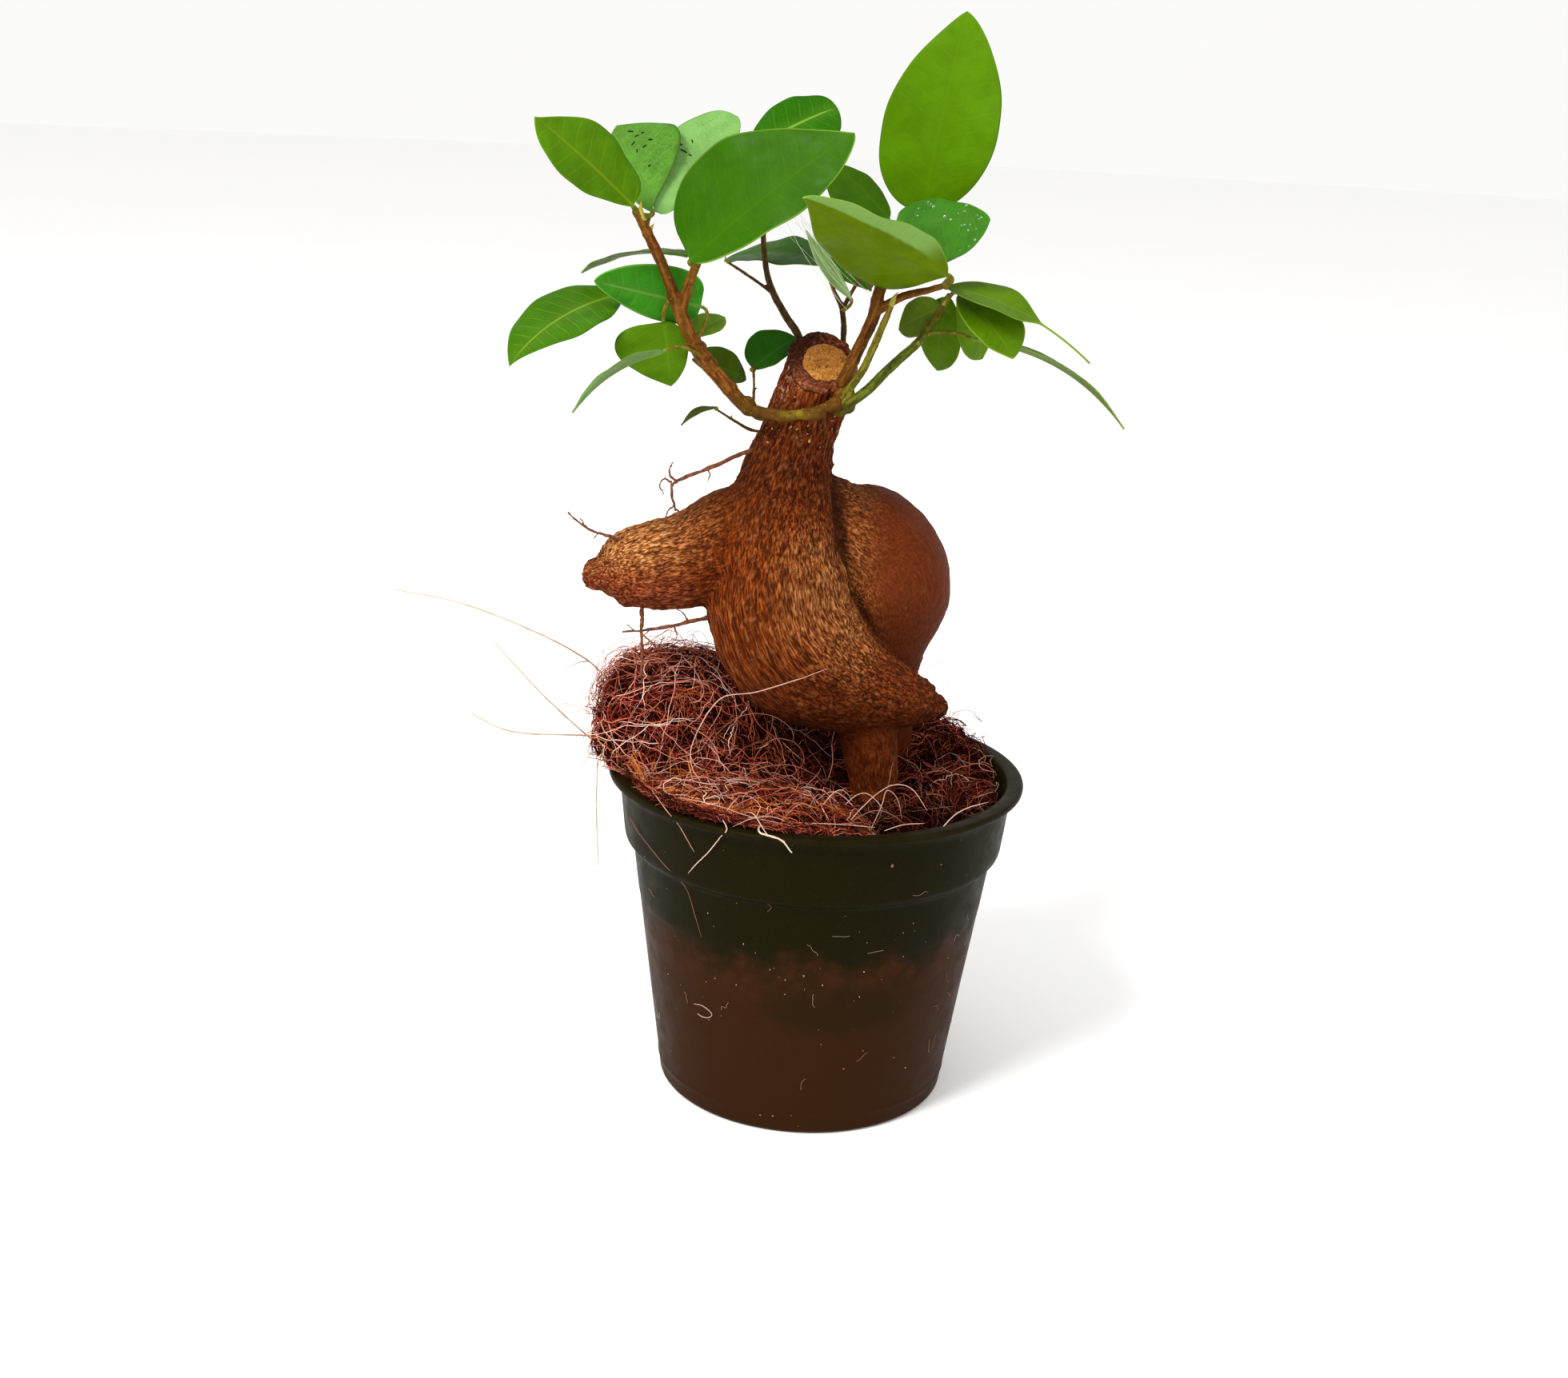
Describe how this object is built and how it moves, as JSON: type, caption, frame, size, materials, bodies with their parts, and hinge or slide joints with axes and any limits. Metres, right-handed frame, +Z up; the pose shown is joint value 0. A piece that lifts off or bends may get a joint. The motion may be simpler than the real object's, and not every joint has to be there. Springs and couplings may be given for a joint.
{
  "type": "ginseng ficus bonsai",
  "caption": "Ginseng ficus bonsai: a swollen root trunk with grafted leafy shoots, standing in fibrous coir soil in a small tapered plastic nursery pot.",
  "frame": {"origin": "centre of the pot's flat underside, on the surface it stands on", "axes": "+Z up through the plant; the front, where the sawn top faces, is -Y; +X is the plant's right as seen from the front"},
  "size_m": [0.1112, 0.0671, 0.166],
  "materials": {
    "pot_plastic": "satin",
    "coir": "matte",
    "coir_fibre": "matte",
    "root_bark": "matte",
    "brown_shoot": "satin",
    "green_shoot": "satin",
    "leaf_bright": "satin",
    "leaf_dark": "satin",
    "leaf_olive": "satin",
    "leaf_pale": "satin"
  },
  "bodies": {
    "root": {"aerial_root_drop": "root_bark", "aerial_root_lobe": "root_bark", "aerial_root_side": "root_bark", "aerial_root_upper": "root_bark", "coir_soil": "coir", "leaf_blue_green": "leaf_dark", "leaf_centre_front": "leaf_bright", "leaf_dark_behind": "leaf_dark", "leaf_dark_left": "leaf_dark", "leaf_dark_middle": "leaf_dark", "leaf_dark_top": "leaf_dark", "leaf_drip_tip": "leaf_bright", "leaf_far_left": "leaf_bright", "leaf_hanging_back": "leaf_bright", "leaf_hanging_front": "leaf_bright", "leaf_hanging_middle": "leaf_bright", "leaf_long_back": "leaf_dark", "leaf_low_olive": "leaf_olive", "leaf_olive_front": "leaf_olive", "leaf_olive_left": "leaf_olive", "leaf_pale_left": "leaf_pale", "leaf_pale_middle": "leaf_pale", "leaf_pale_right": "leaf_pale", "leaf_round_dark": "leaf_dark", "leaf_side_back_left": "leaf_dark", "leaf_small_left": "leaf_olive", "leaf_sprout": "leaf_dark", "leaf_thin_left": "leaf_pale", "leaf_thin_right": "leaf_pale", "leaf_top_right": "leaf_bright", "leaf_upper_left": "leaf_bright", "leaf_young_pale": "leaf_pale", "loose_fibre_down": "coir_fibre", "loose_fibre_front": "coir_fibre", "loose_fibre_long": "coir_fibre", "loose_fibre_lower": "coir_fibre", "loose_fibre_upper": "coir_fibre", "nursery_pot": "pot_plastic", "shoot_back_left": "brown_shoot", "shoot_back_middle": "brown_shoot", "shoot_left": "brown_shoot", "shoot_right_green": "green_shoot", "shoot_right_main": "brown_shoot", "shoot_right_olive": "green_shoot", "sprout_low_left": "brown_shoot", "trunk_root": "root_bark", "twig_low_left": "brown_shoot"}
  },
  "joints": []
}
